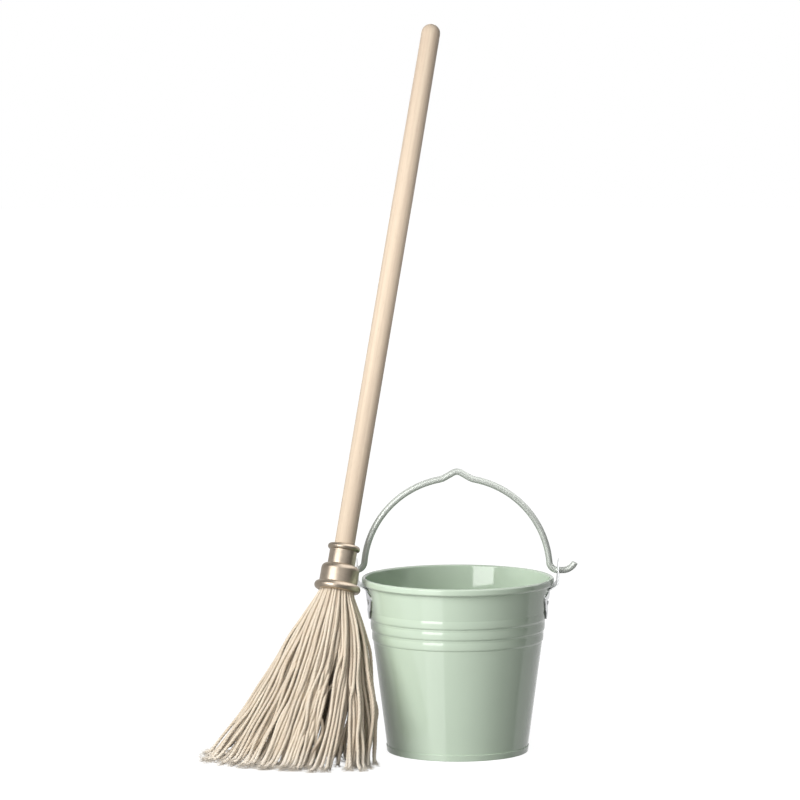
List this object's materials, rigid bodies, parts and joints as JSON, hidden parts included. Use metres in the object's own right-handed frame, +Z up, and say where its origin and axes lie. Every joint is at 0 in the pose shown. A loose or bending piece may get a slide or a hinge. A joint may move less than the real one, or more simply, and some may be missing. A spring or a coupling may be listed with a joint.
{
  "type": "mop and bucket",
  "caption": "String mop with a turned wooden handle and a metal ferrule, standing beside a tapered enamelled steel bucket whose wire bail swings in two riveted ears.",
  "frame": {"origin": "centre of the bucket's foot, on the floor", "axes": "+Z up; X along the bail's pivot axis, with the mop at the bucket's -X side; +Y to the back, where the bucket's side seam is and the way the mop leans"},
  "size_m": [0.5596, 0.382, 1.0753],
  "materials": {
    "bucket_enamel": "gloss",
    "bail_enamel": "gloss",
    "zinc": "satin",
    "bare_steel": "satin",
    "ferrule_bronze": "satin",
    "beech": "satin",
    "cotton_yarn": "matte"
  },
  "bodies": {
    "bucket": {"bucket_wall": "bucket_enamel", "bucket_bottom": "bucket_enamel", "rim_wire": "bare_steel", "ear_left": "zinc", "ear_right": "zinc", "ear_rivets_left": "zinc", "ear_rivets_right": "zinc"},
    "bail": {"bail": "bail_enamel"},
    "mop": {"mop_handle": "beech", "ferrule": "ferrule_bronze", "head_screw": "bare_steel", "head_washer": "bare_steel", "yarn_tie": "bare_steel", "yarn_root": "cotton_yarn", "yarn_lock_right": "cotton_yarn", "yarn_lock_back_right": "cotton_yarn", "yarn_lock_back": "cotton_yarn", "yarn_lock_back_left": "cotton_yarn", "yarn_lock_left": "cotton_yarn", "yarn_lock_front_left": "cotton_yarn", "yarn_lock_front": "cotton_yarn", "yarn_lock_front_right": "cotton_yarn"}
  },
  "joints": [
    {"name": "bail_swing", "type": "hinge", "parent": "bucket", "child": "bail", "pos_m": [0, 0, 0.27], "axis": [1, 0, 0], "range_deg": [-91, 91]},
    {"name": "mop_lift", "type": "slide", "parent": "bucket", "child": "mop", "axis": [-0.2822, -0.1881, 0.9407], "range_m": [0, 0.5]}
  ]
}
